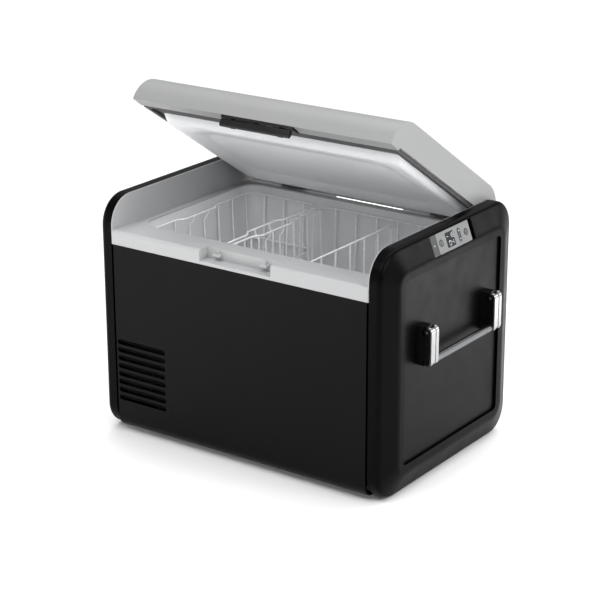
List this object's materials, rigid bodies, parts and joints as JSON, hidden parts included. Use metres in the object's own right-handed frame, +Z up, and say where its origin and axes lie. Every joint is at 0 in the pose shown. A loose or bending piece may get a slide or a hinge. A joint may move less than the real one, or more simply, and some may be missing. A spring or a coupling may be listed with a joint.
{
  "type": "compressor cooler fridge",
  "caption": "Portable compressor cooler box with a hinged lid, two wire baskets, a control panel and folding end handles",
  "frame": {"origin": "on the floor under the middle of the box's length, width and depth", "axes": "+X along the length towards the control panel, +Y towards the hinges, +Z up"},
  "size_m": [0.72, 0.455, 0.6875],
  "materials": {
    "body_plastic": "matte",
    "lid_plastic": "matte",
    "frame_plastic": "satin",
    "liner_plastic": "satin",
    "insulation_foam": "matte",
    "seal_rubber": "matte",
    "floor_steel": "satin",
    "bright_steel": "satin",
    "bare_aluminium": "satin",
    "compressor_paint": "satin",
    "black_plastic": "satin",
    "circuit_board": "satin",
    "silver_fascia": "satin",
    "tab_grey": "satin",
    "lamp_lens": "gloss",
    "display_glass": "gloss",
    "button_grey": "satin",
    "basket_coating": "gloss",
    "light_lens": "satin",
    "latch_plastic": "satin",
    "hinge_plastic": "satin",
    "handle_plastic": "matte",
    "handle_metal": "satin"
  },
  "bodies": {
    "cabinet": {"front_panel": "body_plastic", "rear_panel": "body_plastic", "left_end_cap": "body_plastic", "right_end_cap": "body_plastic", "left_end_panel": "body_plastic", "right_end_panel": "body_plastic", "top_frame": "frame_plastic", "inner_liner": "liner_plastic", "insulation": "insulation_foam", "feet": "seal_rubber", "compressor_mounts": "seal_rubber", "base_pan": "floor_steel", "base_screws": "bright_steel", "evaporator": "bare_aluminium", "condenser": "bare_aluminium", "compressor": "compressor_paint", "fan_frame": "black_plastic", "control_board": "circuit_board", "panel_board": "circuit_board", "mains_inlet": "black_plastic", "battery_inlet": "black_plastic", "control_housing": "black_plastic", "control_fascia": "silver_fascia", "indicator_tab": "tab_grey", "status_light": "lamp_lens", "display_window": "display_glass", "left_basket": "basket_coating", "right_basket": "basket_coating", "basket_divider": "basket_coating", "led_lens": "light_lens", "latch_catches": "frame_plastic", "left_hinge_bracket": "hinge_plastic", "left_handle_base": "handle_plastic", "right_hinge_bracket": "hinge_plastic", "right_handle_base": "handle_plastic"},
    "lid": {"lid_shell": "lid_plastic", "lid_foam": "insulation_foam", "lid_liner": "liner_plastic", "lid_gasket": "seal_rubber", "latch_bracket": "latch_plastic", "latch_pin": "bright_steel", "latch_spring": "bright_steel", "left_hinge_leaf": "hinge_plastic", "right_hinge_leaf": "hinge_plastic", "left_hinge_pin": "bright_steel", "right_hinge_pin": "bright_steel"},
    "latch": {"latch_flap": "latch_plastic"},
    "fan": {"fan_rotor": "black_plastic"},
    "power_key": {"power_button": "button_grey"},
    "menu_key": {"menu_button": "button_grey"},
    "level_key": {"level_rocker": "button_grey"},
    "right_handle": {"right_handle_arms": "handle_plastic", "right_handle_straps": "handle_metal", "right_handle_bar": "handle_metal", "right_handle_pins": "bright_steel"},
    "left_handle": {"left_handle_arms": "handle_plastic", "left_handle_straps": "handle_metal", "left_handle_bar": "handle_metal", "left_handle_pins": "bright_steel"}
  },
  "joints": [
    {"name": "lid_hinge", "type": "hinge", "parent": "cabinet", "child": "lid", "pos_m": [0, 0.217, 0.4185], "axis": [-1, 0, 0], "range_deg": [-33, 62]},
    {"name": "latch_pivot", "type": "hinge", "parent": "lid", "child": "latch", "pos_m": [0, -0.15731, 0.64906], "axis": [-1, 0, 0], "range_deg": [-8, 22], "stiffness_Nm_per_rad": 0.05},
    {"name": "fan_spin", "type": "hinge", "parent": "cabinet", "child": "fan", "pos_m": [-0.229, -0.157, 0.126], "axis": [0, 1, 0], "continuous": true},
    {"name": "power_press", "type": "slide", "parent": "cabinet", "child": "power_key", "axis": [-0.9372, 0, -0.3487], "range_m": [0, 0.001], "stiffness_N_per_m": 1500},
    {"name": "menu_press", "type": "slide", "parent": "cabinet", "child": "menu_key", "axis": [-0.9372, 0, -0.3487], "range_m": [0, 0.001], "stiffness_N_per_m": 1500},
    {"name": "level_rock", "type": "hinge", "parent": "cabinet", "child": "level_key", "pos_m": [0.32338, 0.026, 0.45246], "axis": [0, 1, 0], "range_deg": [-4, 4], "stiffness_Nm_per_rad": 0.15},
    {"name": "right_handle_fold", "type": "hinge", "parent": "cabinet", "child": "right_handle", "pos_m": [0.35, 0.007, 0.31], "axis": [0, -1, 0], "range_deg": [0, 90]},
    {"name": "left_handle_fold", "type": "hinge", "parent": "cabinet", "child": "left_handle", "pos_m": [-0.35, 0.007, 0.31], "axis": [0, 1, 0], "range_deg": [0, 90]}
  ]
}
